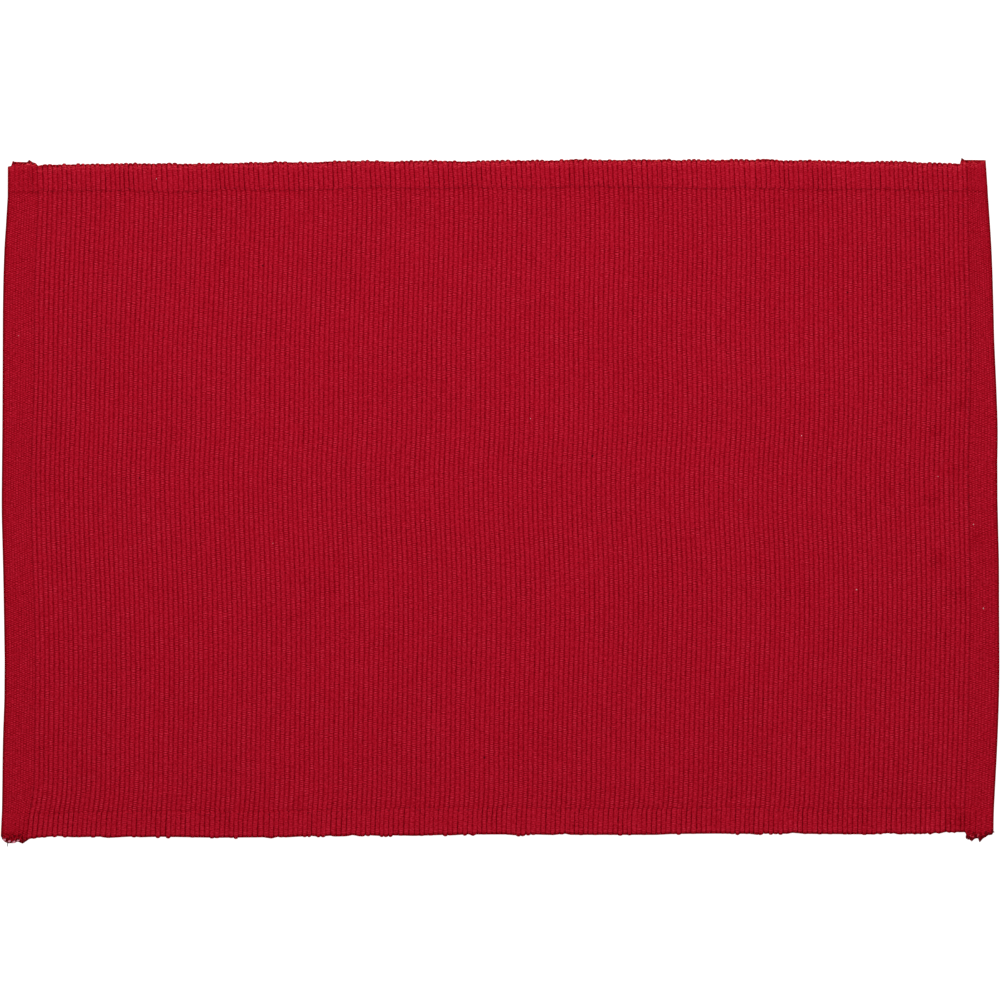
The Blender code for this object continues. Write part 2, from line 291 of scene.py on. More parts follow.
def face_height(grid):
    """Height of the face: between foot and crest as the rib's shape says, or the band's height. The
    short ends roll down, the band dips along its seam, the first and last foot lie deeper, and faint
    ridges of the ribs below show through the bands at the corners."""
    hem = grid["hem"]
    before = len(BAND_SHARE)
    after = len(grid["x"]) - before - RIB_COUNT * len(RIB_PHASE)

    def by_column(kinds):
        each_rib = np.repeat(drifts(kinds, RIB_COUNT, grid["level"]), len(RIB_PHASE), 0)
        return np.pad(each_rib, ((before, after), (0, 0)))

    crest = np.interp(hem, FACE_INSET, CREST) + by_column(CREST_LIFT)
    foot = np.interp(hem, FACE_INSET, FOOT) + by_column(FOOT_SINK)
    band = np.interp(hem, FACE_INSET, BAND)
    ribbed = foot + (crest - foot) * grid["crest"]
    beside_band = 1 - rise(np.minimum(grid["rib"], RIB_COUNT - grid["rib"]), 1.0)
    ribbed = ribbed - OUTER_FOOT_SINK * beside_band * (grid["crest"] == 0)
    ridges = -RIDGE_HEIGHT * np.cos(2 * math.pi * grid["rib"]) * (1 - rise(hem - 9.0, 5.0))
    from_ribs = np.abs(grid["rib"] - np.clip(grid["rib"], 0, RIB_COUNT))
    seam_dip = SEAM_DIP * (1 - rise(from_ribs, 0.5))
    into_roll = 1 - np.clip(grid["end"] / ROLL_WIDTH, 0, 1)
    roll = 0.68 + 0.32 * np.sqrt(np.clip(1 - into_roll**2, 0, 1))
    banded = (band + ridges - seam_dip) * roll
    return np.where(grid["is_band"] > 0, banded, ribbed)


def back_height(grid):
    """Height of the back: its ribs' crests lie on the table, it lifts beside the turned hems and
    bands, and it rounds up to the rim."""
    hem_lift = np.interp(grid["hem"], BACK_INSET, BACK)
    inside = np.clip(grid["rib"], 0, RIB_COUNT)
    from_band = np.minimum(inside, RIB_COUNT - inside) * RIB_PITCH
    band_lift = BAND_LIFT * rise(from_band, 1.0) * (1 - rise(from_band - 2.0, 12.0))
    rim = RIM_LIFT * (1 - rise(grid["end"], 1.4))
    ribs = BACK_RIB_DEPTH * (1 - grid["crest"]) * (1 - grid["is_band"])
    return np.maximum(np.maximum(hem_lift, band_lift), rim) + ribs * rise(grid["hem"], 2.0)


def close_cloth(face, back, step):
    """Faces of the closed cloth: quads of both sides, quads round the long edges, and at the short
    ends one polygon for each interval of the back, which spans `step` intervals of the face."""
    columns, rows = face.shape
    back_rows = back.shape[1]

    def quads(a, b, c, d):
        return np.stack([a.ravel(), b.ravel(), c.ravel(), d.ravel()], 1).tolist()

    faces = quads(face[:-1, :-1], face[1:, :-1], face[1:, 1:], face[:-1, 1:])
    faces += quads(back[:-1, 1:], back[1:, 1:], back[1:, :-1], back[:-1, :-1])
    faces += quads(back[:-1, 0], back[1:, 0], face[1:, 0], face[:-1, 0])
    faces += quads(face[:-1, -1], face[1:, -1], back[1:, -1], back[:-1, -1])
    lows = np.arange(back_rows - 1)
    spans = lows[:, None] * step + np.arange(step + 1)
    left = np.concatenate([back[0, lows, None], face[0][spans], back[0, lows + 1, None]], 1)
    right = np.concatenate([back[-1, lows, None], face[-1][spans], back[-1, lows + 1, None]], 1)
    return faces + left.tolist() + right[:, ::-1].tolist()


def new_piece(name, points, faces, maps):
    """A smooth-shaded mesh object from points in millimetres, with UV maps given for each point."""
    mesh = bpy.data.meshes.new(name)
    mesh.from_pydata((points * MM).tolist(), [], faces)
    corners = np.empty(len(mesh.loops), np.int32)
    mesh.loops.foreach_get("vertex_index", corners)
    for map_name, values in maps.items():
        layer = mesh.uv_layers.new(name=map_name)
        layer.data.foreach_set("uv", values[corners].astype(np.float32).ravel())
    mesh.shade_smooth()
    piece = bpy.data.objects.new(name, mesh)
    bpy.context.scene.collection.objects.link(piece)
    return piece


face_grid = cloth_grid(FACE_ROWS, FACE_FIELD_ROWS)
back_grid = cloth_grid(BACK_ROWS, BACK_FIELD_ROWS)
face_grid["z"] = face_height(face_grid)
back_grid["z"] = back_height(back_grid)
sides = (face_grid, back_grid)
points = np.concatenate([np.stack([g["x"], g["y"], g["z"]], -1).reshape(-1, 3) for g in sides])
weave = np.concatenate([np.stack([g["rib"], g["y"]], -1).reshape(-1, 2) for g in sides])
edges = np.concatenate([np.stack([g["end"], g["hem"]], -1).reshape(-1, 2) for g in sides])
numbers = np.arange(len(points))
face_numbers = numbers[: face_grid["x"].size].reshape(face_grid["x"].shape)
back_numbers = numbers[face_grid["x"].size :].reshape(back_grid["x"].shape)
rows_per_back_row = (face_numbers.shape[1] - 1) // (back_numbers.shape[1] - 1)
faces = close_cloth(face_numbers, back_numbers, rows_per_back_row)
cloth = new_piece("placemat_cloth", points, faces, {"weave": weave, "edges": edges})

# The fine yarns, one over and one under each cord, and the thinner cords of the bands. Single fibres
# are too fine to show, so their tufts are drawn half a millimetre wide.
FLOAT_PITCH = 1.06
BAND_CORD_PITCH = 1.3
TUFT_SIZE = (0.56, 0.4)

# What is uneven in the weave: waves for each rib, waves for each millimetre along it, and detail.
UNEVEN = {
    "ragged": (1.3, 0.6, 1.0),
    "slack": (0.31, 0.2, 1.0),
    "streaks": (2.7, 0.08, 2.0),
    "tightness": (1.7, 0.055, 1.0),
    "patches": (0.45, 0.12, 1.0),
    "fuzz": (2.79, 1.18, 0.0),
    "slow": (0.06, 0.022, 1.0),
    "crumpled_shade_mottle": (2.0, 0.75, 1.0),
}
RAGGEDNESS = 0.2
SLACKNESS = 1.6

# Tones in the field and in the hems, with light and shade painted in: the painted highlight on the swell
# of a cord, the painted shade in the gap beside it and its flat part, the painted light and shade of the
# floats that cross it, and of the pillows of the plain weave in the bands with their ground.
WEAVE_TONES = {
    "swell": (0.19, 0.04),
    "gap": (-0.09, -0.34),
    "flat": (0.375, 0.53),
    "floats": (0.60, 0.28),
    "pillows": (0.50, 0.30),
    "ground": (0.36, 0.47),
}

# How much each kind of unevenness changes the tone.
TUFT_TONE = 0.17
FUZZ_TONE = 0.43
STREAK_TONE = 0.19
FLOAT_TONE = 0.04
SLOW_TONE = 0.04

# Change of tone at each distance in from a long side (painted shade along the rim, a painted highlight
# along the fold and painted shade in the sunk seam) and from a short end (a painted highlight on the
# outermost edge and painted shade just inside it).
HEM_TONE = (
    (0.0, 0.05), (0.25, -0.24), (0.6, -0.42), (0.9, -0.22), (1.3, -0.03), (1.7, 0.05), (2.6, 0.03),
    (4.0, 0.0), (12.4, 0.0), (12.9, -0.06), (13.3, -0.06), (13.8, -0.01), (15.5, 0.0),
)
END_TONE = ((0.0, 0.22), (0.25, -0.02), (0.5, -0.23), (0.9, -0.13), (1.4, -0.05), (2.2, 0.0))

# The dye from the darkest painted shade in a gap to the palest fibre, and the colour of rubbed fibres
# with their painted highlight.
DYE = ((0.0, "#5C0107"), (0.25, "#880411"), (0.5, "#A90D22"), (0.75, "#C11E36"), (1.0, "#D4384E"))
RUBBED_FIBRE_HIGHLIGHT = "#DA3A3C"

# Where the cloth is puckered beside the near right corner, with its painted shade, as a rib's number
# and y, and the soft darker spots: x, y and how much darker.
PUCKER_SHADE_CENTRE = (190.4, -156.0)
DARK_SPOT_RADIUS = 6.3
DARK_SPOTS = (
    (211.2, 33.7, 0.090), (208.6, 60.0, 0.086), (211.4, 67.4, 0.040), (223.4, 47.3, 0.084),
    (212.2, -28.1, 0.076), (211.2, 0.6, 0.073), (221.5, -44.7, 0.066), (221.9, 15.2, 0.058),
    (231.2, -16.9, 0.045), (-213.9, -33.0, 0.045), (-213.9, 38.0, 0.040),
)


def linear(hex_colour):
    """An sRGB hex colour as linear red, green, blue and alpha."""
    parts = [int(hex_colour[i : i + 2], 16) / 255 for i in (1, 3, 5)]
    return tuple(c / 12.92 if c <= 0.04045 else ((c + 0.055) / 1.055) ** 2.4 for c in parts) + (1.0,)


def node(tree, kind, inputs=(), out=0, stops=(), **settings):
    """Adds one node with its settings, joins or sets its inputs, sets the stops of its ramp if it has
    one, and gives back one of its outputs."""
    made = tree.nodes.new(kind)
    for name, value in settings.items():
        setattr(made, name, value)
    for key, value in dict(inputs).items():
        if isinstance(value, bpy.types.NodeSocket):
            tree.links.new(value, made.inputs[key])
        else:
            made.inputs[key].default_value = value
    for _ in stops[2:]:
        made.color_ramp.elements.new(0.5)
    for stop, (at, colour) in zip(made.color_ramp.elements if stops else (), stops):
        stop.position = at
        stop.color = colour
    return made.outputs[out]


def hump(tree, steps):
    """A round hump from 0 to 1 and back over each whole step: the sine of pi times the fraction."""
    share = node(tree, "ShaderNodeMath", {0: steps}, operation="FRACT")
    turn = node(tree, "ShaderNodeMath", {0: share, 1: math.pi}, operation="MULTIPLY")
    return node(tree, "ShaderNodeMath", {0: turn}, operation="SINE")


def ribbed_cotton():
    """Yarn-dyed cotton in a rib weave, with its light and shade painted in. Little light falls deep between
    the ribs, so the feet are painted almost wine red as shade; the crests are a dull bright red with
    painted light, crossed by the fine yarns, with rubbed fibres and a painted highlight where the cloth is
    folded over."""
    material = bpy.data.materials.new("ribbed_cotton_repp")
    material.use_nodes = True
    tree = material.node_tree
    calc = "ShaderNodeMath"
    spread = "ShaderNodeMapRange"
    vector = "ShaderNodeVectorMath"

    weave_uv = node(tree, "ShaderNodeUVMap", uv_map="weave")
    rib = node(tree, "ShaderNodeSeparateXYZ", {0: weave_uv}, 0)
    along = node(tree, "ShaderNodeSeparateXYZ", {0: weave_uv}, 1)
    edge_uv = node(tree, "ShaderNodeUVMap", uv_map="edges")
    end = node(tree, "ShaderNodeSeparateXYZ", {0: edge_uv}, 0)
    hem = node(tree, "ShaderNodeSeparateXYZ", {0: edge_uv}, 1)
    uneven = {}
    for name, (per_rib, per_mm, detail) in UNEVEN.items():
        place = node(tree, vector, {0: weave_uv, 1: (per_rib, per_mm, 1.0)}, operation="MULTIPLY")
        waves = {"Vector": place, "Scale": 1.0, "Detail": detail}
        uneven[name] = node(tree, "ShaderNodeTexNoise", waves)

    # Cords: the thick yarns, one for each rib, and nearly twice as many in the bands. Their sides are
    # a little ragged.
    after_first = node(tree, calc, {0: rib, 1: 0.0}, operation="GREATER_THAN")
    before_last = node(tree, calc, {0: rib, 1: float(RIB_COUNT)}, operation="LESS_THAN")
    ribbed = node(tree, calc, {0: after_first, 1: before_last}, operation="MULTIPLY")
    cords_per_rib = node(tree, spread, {0: ribbed, 3: RIB_PITCH / BAND_CORD_PITCH, 4: 1.0})
    ragged = node(tree, calc, {0: uneven["ragged"], 1: 0.5}, operation="SUBTRACT")
    ragged_rib = node(tree, calc, {0: ragged, 1: RAGGEDNESS, 2: rib}, operation="MULTIPLY_ADD")
    cord = node(tree, calc, {0: ragged_rib, 1: cords_per_rib}, operation="MULTIPLY")
    cord_number = node(tree, calc, {0: cord}, operation="FLOOR")
    cord_round = hump(tree, cord)

    # Floats: each fine yarn passes over every second cord, so the floats step by half a pitch.
    even = node(tree, calc, {0: along, 1: 1 / FLOAT_PITCH}, operation="MULTIPLY")
    stepped = node(tree, calc, {0: cord_number, 1: 0.5, 2: even}, operation="MULTIPLY_ADD")
    floats = node(tree, calc, {0: uneven["slack"], 1: SLACKNESS, 2: stepped}, operation="MULTIPLY_ADD")
    float_number = node(tree, calc, {0: floats}, operation="FLOOR")
    float_round = hump(tree, floats)
    float_cell = node(tree, "ShaderNodeCombineXYZ", {0: cord_number, 1: float_number})
    float_chance = node(tree, "ShaderNodeTexWhiteNoise", {"Vector": float_cell}, noise_dimensions="2D")
    pillow = node(tree, calc, {0: float_round, 1: cord_round}, operation="MULTIPLY")

    # Tufts, where fibres stand up or leave a gap.
    tufts_per = (RIB_PITCH / TUFT_SIZE[0], 1 / TUFT_SIZE[1], 1.0)
    tuft_place = node(tree, vector, {0: weave_uv, 1: tufts_per}, operation="MULTIPLY")
    tuft_cell = {"Vector": tuft_place, "Scale": 1.0}
    tuft_colour = node(tree, "ShaderNodeTexVoronoi", tuft_cell, 1, voronoi_dimensions="2D")
    tufts = node(tree, "ShaderNodeSeparateColor", {0: tuft_colour})

    # Tone from 0, the darkest painted shade in a gap, to 1, the palest fibre.
    in_hem = node(tree, spread, {0: hem, 1: 12.5, 2: 13.1, 3: 1.0, 4: 0.0})
    weave = {}
    for name, (field_tone, hemmed_tone) in WEAVE_TONES.items():
        weave[name] = node(tree, spread, {0: in_hem, 3: field_tone, 4: hemmed_tone})
    # Painted light on the swell of each cord and painted shade in the gap beside it, deeper in the hems.
    swell = node(tree, spread, {0: cord_round, 1: 0.05, 2: 0.85}, interpolation_type="SMOOTHSTEP")
    swell_tone = node(tree, calc, {0: swell, 1: weave["swell"], 2: weave["flat"]}, operation="MULTIPLY_ADD")
    tightness = node(tree, spread, {0: uneven["tightness"], 1: 0.32, 2: 0.68, 3: 0.52, 4: 1.48})
    gap_depth = node(tree, calc, {0: weave["gap"], 1: tightness}, operation="MULTIPLY")
    gap = node(tree, spread, {0: cord_round, 2: 0.6, 3: 1.0, 4: 0.0}, interpolation_type="SMOOTHSTEP")
    cord_tone = node(tree, calc, {0: gap, 1: gap_depth, 2: swell_tone}, operation="MULTIPLY_ADD")

    # The painted light and shade of the floats shows more in some places than in others, where the yarns
    # lie slack or tight. The painted light and shade of the pillows, and the tufts, fade out where the
    # short ends roll down.
    float_depth = node(tree, spread, {0: uneven["patches"], 1: 0.36, 2: 0.64, 3: 0.04, 4: weave["floats"]})
    float_rise = node(tree, calc, {0: float_round, 1: 0.64}, operation="SUBTRACT")
    float_rise = node(tree, calc, {0: float_rise, 1: cord_round}, operation="MULTIPLY")
    rib_tone = node(tree, calc, {0: float_rise, 1: float_depth, 2: cord_tone}, operation="MULTIPLY_ADD")
    off_end = node(tree, spread, {0: end, 1: 0.3, 2: 1.2})
    pillow_depth = node(tree, calc, {0: weave["pillows"], 1: off_end}, operation="MULTIPLY")
    ground = node(tree, calc, {0: cord_round, 1: -0.16, 2: weave["ground"]}, operation="MULTIPLY_ADD")
    band_tone = node(tree, calc, {0: pillow, 1: pillow_depth, 2: ground}, operation="MULTIPLY_ADD")
    tone = node(tree, "ShaderNodeMix", {0: ribbed, 2: band_tone, 3: rib_tone})

    # Uneven yarn: tufts and fuzz, streaks along the cords, single floats and slow changes.
    tuft_tone = node(tree, calc, {0: tufts, 1: TUFT_TONE, 2: -TUFT_TONE / 2}, operation="MULTIPLY_ADD")
    fuzz = node(tree, calc, {0: uneven["fuzz"], 1: 0.5}, operation="SUBTRACT")
    tuft_tone = node(tree, calc, {0: fuzz, 1: FUZZ_TONE, 2: tuft_tone}, operation="MULTIPLY_ADD")
    tuft_tone = node(tree, calc, {0: tuft_tone, 1: off_end}, operation="MULTIPLY")
    parts = [tuft_tone]
    changes = ((uneven["streaks"], STREAK_TONE), (float_chance, FLOAT_TONE), (uneven["slow"], SLOW_TONE))
    for unevenness, amount in changes:
        change = {0: unevenness, 1: amount, 2: -amount / 2}
        parts.append(node(tree, calc, change, operation="MULTIPLY_ADD"))

    # Where the hems cross the bands, the ribs of the layers below show through near the field; painted
    # shade darkens the grooves between them.
    over_hem = node(tree, spread, {0: hem, 1: 10.0, 2: 15.0, 3: -0.26, 4: 0.0})
    towards_field = node(tree, spread, {0: end, 1: 3.0, 2: 9.0, 3: 0.2, 4: 1.0})
    ridge_shade_depth = node(tree, calc, {0: over_hem, 1: towards_field}, operation="MULTIPLY")
    ridge_shade_depth = node(tree, spread, {0: ribbed, 3: ridge_shade_depth, 4: 0.0})
    ridge = hump(tree, rib)
    ridge_groove_shade = node(tree, spread, {0: ridge, 2: 0.6, 3: 1.0, 4: 0.0}, interpolation_type="SMOOTHSTEP")
    parts.append(node(tree, calc, {0: ridge_groove_shade, 1: ridge_shade_depth}, operation="MULTIPLY"))

    # The frayed corners of the near side curl down into shade, and the cloth is puckered beside the right
    # one; their yarns are crumpled. The shade of both is painted in, mottled by the crumpled yarns.
    painted_crumple_shade = node(tree, spread, {0: uneven["crumpled_shade_mottle"], 1: 0.4, 2: 0.62, 3: -0.5, 4: 0.0})
    curled_corner_shade = node(tree, spread, {0: along, 1: -163.6, 2: -160.4, 3: 1.0, 4: 0.0})
    curled_corner_shade = node(tree, spread, {0: ribbed, 3: curled_corner_shade, 4: 0.0})
    place = node(tree, vector, {0: weave_uv, 1: (RIB_PITCH, 1.0, 1.0)}, operation="MULTIPLY")
    centre = (PUCKER_SHADE_CENTRE[0] * RIB_PITCH, PUCKER_SHADE_CENTRE[1], 0.0)
    pucker_shade = node(tree, vector, {0: place, 1: centre}, 1, operation="DISTANCE")
    pucker_shade = node(tree, spread, {0: pucker_shade, 1: 2.0, 2: 7.0, 3: 0.34, 4: 0.0})
    in_shade = node(tree, calc, {0: curled_corner_shade, 1: pucker_shade}, operation="MAXIMUM")
    parts.append(node(tree, calc, {0: in_shade, 1: painted_crumple_shade}, operation="MULTIPLY"))

    # The soft dark spots.
    for x, y, depth in DARK_SPOTS:
        centre = (x - FIRST_FOOT_X, y, 0.0)
        distance = node(tree, vector, {0: place, 1: centre}, 1, operation="DISTANCE")
        fade = {0: distance, 1: 0.0, 2: DARK_SPOT_RADIUS, 3: -depth, 4: 0.0}
        spot = node(tree, spread, fade, interpolation_type="SMOOTHSTEP")
        tone = node(tree, calc, {0: tone, 1: spot}, operation="ADD")

    # Rubbed fibres stand up from the fold of the top hem, the side towards the soft box, and are painted
    # paler there as a highlight.
    top_half = node(tree, calc, {0: along, 1: 0.0}, operation="GREATER_THAN")
    near_fold = node(tree, spread, {0: hem, 1: 0.7, 2: 4.2, 3: 1.0, 4: 0.0})
    rubbed_lit_fold = node(tree, calc, {0: top_half, 1: near_fold}, operation="MULTIPLY")
    rubbed_fibre_highlight = node(tree, spread, {0: tufts, 1: 0.62, 2: 0.95})
    rubbed_fibre_highlight = node(tree, calc, {0: rubbed_fibre_highlight, 1: rubbed_lit_fold}, operation="MULTIPLY")
    parts.append(node(tree, calc, {0: rubbed_fibre_highlight, 1: 0.30}, operation="MULTIPLY"))

    # The painted shade and highlights of the rims, as straight lines through their tables, drawn by ramps
    # of greys.
    rims = []
    for distance, table in ((hem, HEM_TONE), (end, END_TONE)):
        reach = table[-1][0]
        share = node(tree, calc, {0: distance, 1: 1 / reach}, operation="MULTIPLY")
        greys = [(at / reach, (change + 0.5, change + 0.5, change + 0.5, 1.0)) for at, change in table]
        grey = node(tree, "ShaderNodeValToRGB", {0: share}, stops=greys)
        rims.append(node(tree, calc, {0: grey, 1: 0.5}, operation="SUBTRACT"))
    parts.append(node(tree, calc, {0: rims[0], 1: rims[1]}, operation="MINIMUM"))
    parts.append(node(tree, calc, {0: rims[0], 1: 0.0}, operation="MAXIMUM"))
    for part in parts:
        tone = node(tree, calc, {0: tone, 1: part}, operation="ADD")

    dyes = [(at, linear(colour)) for at, colour in DYE]
    dyed = node(tree, "ShaderNodeValToRGB", {0: tone}, stops=dyes)
    # Painted highlight: the rubbed fibres of the top fold are mixed towards a paler orange red.
    fibre_highlight_share = node(tree, calc, {0: rubbed_fibre_highlight, 1: 0.45}, operation="MULTIPLY")
    colours = {0: fibre_highlight_share, 6: dyed, 7: linear(RUBBED_FIBRE_HIGHLIGHT)}
    colour = node(tree, "ShaderNodeMix", colours, 2, data_type="RGBA")

    # Relief too fine for the mesh, in millimetres; it fades out where the cloth rolls over its rim.
    height = node(tree, calc, {0: pillow, 1: 0.2}, operation="MULTIPLY")
    height = node(tree, calc, {0: tufts, 1: 0.05, 2: height}, operation="MULTIPLY_ADD")
    from_rim = node(tree, calc, {0: end, 1: hem}, operation="MINIMUM")
    flatness = node(tree, spread, {0: from_rim, 1: 0.3, 2: 1.2})
    bump = node(tree, "ShaderNodeBump", {"Height": height, "Distance": MM, "Strength": flatness})

    shader = tree.nodes["Principled BSDF"]
    tree.links.new(colour, shader.inputs["Base Color"])
    tree.links.new(bump, shader.inputs["Normal"])
    shader.inputs["Roughness"].default_value = 0.9
    shader.inputs["Specular IOR Level"].default_value = 0.02
    shader.inputs["Sheen Weight"].default_value = 0.08
    shader.inputs["Sheen Roughness"].default_value = 0.5
    shader.inputs["Sheen Tint"].default_value = linear("#C81830")
    return material


cloth.data.materials.append(ribbed_cotton())
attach(cloth, "root")
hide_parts("placemat")

# ---------------------------------------------------------------------------------------------------
# The sewing. One row of lockstitch in dark red cotton thread holds down each turned hem, and another
# the turned end of each band. The thread pulls in, so only part of each stitch is seen.

HEM_STITCH = (4.67, 4.86)
HEM_SEAM_REACH = ((-236.5, 233.5), (-239.0, 237.0))
END_STITCH = 4.7
END_SEAM_REACH = (-148.0, 148.0)
STITCH_LENGTH = (1.3, 3.0)
THREAD_RADIUS = 0.17
TWIST_PITCH = 0.7

# The needle's unevenness: the share of the hems' stitches that stray outwards and how far, and the
# spread of places across the hems and along the ends, and of tilt.
STRAY_SHARE = 0.35
STRAY = 1.1
HEM_SPREAD = 0.12
END_SPREAD = 0.3
TILT_SPREAD = 0.06

# Beyond this distance from the middle a hem's stitches lie on a band and pull in deeper.
BAND_FROM_X = 227
BAND_PULL = 0.16
STITCH_STATIONS = np.array((-1.0, -0.88, -0.55, 0.0, 0.55, 0.88, 1.0))
STITCH_RISE = np.array((-0.4, -0.1, 0.07, 0.12, 0.07, -0.1, -0.4))


def face_over(x, y):
    """Height of the cloth's face at the points x, y: read from the nearest column of its grid, on a
    straight line between the two nearest rows."""
    middle = len(face_grid["x"]) // 2
    row = np.abs(face_grid["y"][middle] - y[..., None]).argmin(-1)
    column = np.abs(face_grid["x"][:, row] - x).argmin(0)
    rows = face_grid["y"][column]
    low = np.clip((rows < y[..., None]).sum(-1) - 1, 0, rows.shape[-1] - 2)[..., None]
    start, end = np.take_along_axis(rows, low, -1), np.take_along_axis(rows, low + 1, -1)
    share = np.clip((y[..., None] - start) / (end - start), 0, 1)
    heights = face_grid["z"][column]
    height = np.take_along_axis(heights, low, -1) * (1 - share)
    return (height + np.take_along_axis(heights, low + 1, -1) * share)[..., 0]


def threads(name, paths, radii, sides):
    """Round closed threads, one for each path: at each of its points stands a ring of `sides` points,
    square to the path and as wide as the radius there, and a flat face closes each end ring."""
    along = np.gradient(paths, axis=1)
    along /= np.linalg.norm(along, axis=-1, keepdims=True)
    beside = np.cross(along, (0.0, 0.0, 1.0))
    beside /= np.linalg.norm(beside, axis=-1, keepdims=True)
    above = np.cross(beside, along)
    turn = 2 * math.pi * np.arange(sides) / sides
    ring = np.cos(turn)[:, None] * beside[:, :, None] + np.sin(turn)[:, None] * above[:, :, None]
    points = paths[:, :, None] + radii[:, :, None, None] * ring
    number = np.arange(points.size // 3).reshape(points.shape[:3])
    ahead = np.roll(number, -1, 2)
    walls = np.stack([number[:, :-1], number[:, 1:], ahead[:, 1:], ahead[:, :-1]], -1).reshape(-1, 4)
    ends = np.concatenate([number[:, 0], number[:, -1, ::-1]])
    length = np.cumsum(np.linalg.norm(np.diff(paths, axis=1, prepend=paths[:, :1]), axis=-1), 1)
    twist = np.stack(np.broadcast_arrays(turn / (2 * math.pi), length[:, :, None]), -1)
    faces = walls.tolist() + ends.tolist()
    return new_piece(name, points.reshape(-1, 3), faces, {"twist": twist.reshape(-1, 2)})


chance = np.random.default_rng(51)
middles = []
for pitch, reach, seam, way in zip(HEM_STITCH, HEM_SEAM_REACH, (TOP_SEAM, BOTTOM_SEAM), (1, -1)):
    x = np.arange(*reach, pitch)
    y = np.interp(x, *seam) + way * (0.1 + STRAY * (chance.uniform(size=len(x)) < STRAY_SHARE))
    middles.append(np.stack([x, y + chance.normal(0, HEM_SPREAD, len(x)), np.zeros(len(x))], 1))
for rib, lean in ((0.0, 0.0), (RIB_COUNT, -1.1)):
    y = np.arange(*END_SEAM_REACH, END_STITCH)
    rib_at = rib + lean * rise(y + 40.0, 200.0)
    x = swayed(FIRST_FOOT_X + RIB_PITCH * rib_at, y)
    middles.append(np.stack([x, y + chance.normal(0, END_SPREAD, len(y)), np.ones(len(y))], 1))
middles = np.concatenate(middles)
half = chance.uniform(*STITCH_LENGTH, len(middles)) / 2
upright = middles[:, 2]
tilt = chance.normal(0, TILT_SPREAD, len(middles)) + upright * math.pi / 2
reach_along = half[:, None] * STITCH_STATIONS
stitch_x = middles[:, :1] + reach_along * np.cos(tilt)[:, None]
stitch_y = middles[:, 1:2] + reach_along * np.sin(tilt)[:, None]
surface = face_over(stitch_x, stitch_y)
highest = surface.max(1, keepdims=True)
over_band = (np.abs(middles[:, :1]) > BAND_FROM_X) & (upright[:, None] == 0)
seat = np.where(upright[:, None] > 0, surface, highest)
stitch_z = 0.3 * surface + 0.7 * seat + STITCH_RISE - BAND_PULL * over_band
paths = np.stack([stitch_x, stitch_y, stitch_z], -1)
stitches = threads("hem_stitches", paths, np.full(paths.shape[:2], THREAD_RADIUS), 6)


def sewing_thread():
    """Two-ply cotton thread, dyed darker than the cloth and sunk in its own shadow, which is painted into
    its dull wine red; it has a fine paler twist."""
    material = bpy.data.materials.new("twisted_cotton_thread")
    material.use_nodes = True
    tree = material.node_tree
    uv = node(tree, "ShaderNodeUVMap", uv_map="twist")
    turn = node(tree, "ShaderNodeSeparateXYZ", {0: uv}, 0)
    length = node(tree, "ShaderNodeSeparateXYZ", {0: uv}, 1)
    ply = node(tree, "ShaderNodeMath", {0: turn, 1: 2.0}, operation="MULTIPLY")
    wound = node(tree, "ShaderNodeMath", {0: length, 1: 1 / TWIST_PITCH, 2: ply}, operation="MULTIPLY_ADD")
    wound = node(tree, "ShaderNodeMath", {0: wound, 1: 2 * math.pi}, operation="MULTIPLY")
    groove = node(tree, "ShaderNodeMath", {0: wound}, operation="SINE")
    share = node(tree, "ShaderNodeMapRange", {0: groove, 1: -1.0, 2: 1.0})
    # Dull wine red: dye darkened further by painted shade where the thread sinks in.
    plies = {0: share, 6: linear("#860818"), 7: linear("#AC1228")}
    colour = node(tree, "ShaderNodeMix", plies, 2, data_type="RGBA")
    height = node(tree, "ShaderNodeMath", {0: share, 1: 0.05}, operation="MULTIPLY")
    bump = node(tree, "ShaderNodeBump", {"Height": height, "Distance": MM, "Strength": 1.0})
    shader = tree.nodes["Principled BSDF"]
    tree.links.new(colour, shader.inputs["Base Color"])
    tree.links.new(bump, shader.inputs["Normal"])
    shader.inputs["Roughness"].default_value = 0.8
    shader.inputs["Specular IOR Level"].default_value = 0.05
    return material


thread = sewing_thread()
stitches.data.materials.append(thread)
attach(stitches, "root")

# ---------------------------------------------------------------------------------------------------
# The loose ends at the corners: the cut warp and weft yarns of the turned ends, teased out by washing,
# one bright loose thread on the left ear, and a thread pulled tight down the fold beside it.

